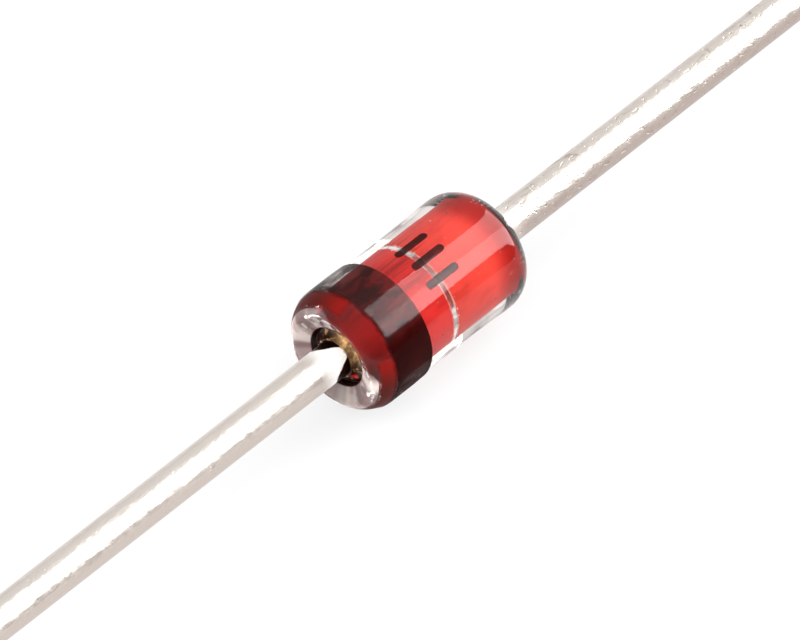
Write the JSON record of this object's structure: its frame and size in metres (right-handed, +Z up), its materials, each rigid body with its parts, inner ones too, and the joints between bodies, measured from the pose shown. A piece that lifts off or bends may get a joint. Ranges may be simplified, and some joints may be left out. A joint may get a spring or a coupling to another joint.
{
  "type": "zener diode",
  "caption": "Glass-bodied zener diode with a dark cathode band, red slugs seen through the glass and a straight tinned wire lead at each end; it holds a voltage steady in a circuit.",
  "frame": {"origin": "middle of the whole diode, which is the middle of the glass on the diode's axis", "axes": "+X along the diode's axis from the cathode, where the band is, to the anode; +Z up"},
  "size_m": [0.0564, 0.0026, 0.0026],
  "materials": {
    "glass": "clear, fire-polished",
    "ink": "thin dark ink, satin",
    "slug": "red oxide skin on copper-clad alloy",
    "solder": "dull solder",
    "silicon": "opaque grey silicon",
    "silver": "plated silver",
    "weld": "heat-stained weld metal",
    "tinned_wire": "bright tin plating, slightly pitted"
  },
  "bodies": {
    "root": {"glass_sleeve": "glass", "cathode_band": "ink", "cathode_slug": "slug", "anode_slug": "slug", "die_solder": "solder", "zener_die": "silicon", "anode_bump": "silver", "cathode_weld": "weld", "anode_weld": "weld", "cathode_lead": "tinned_wire", "anode_lead": "tinned_wire"}
  },
  "joints": []
}
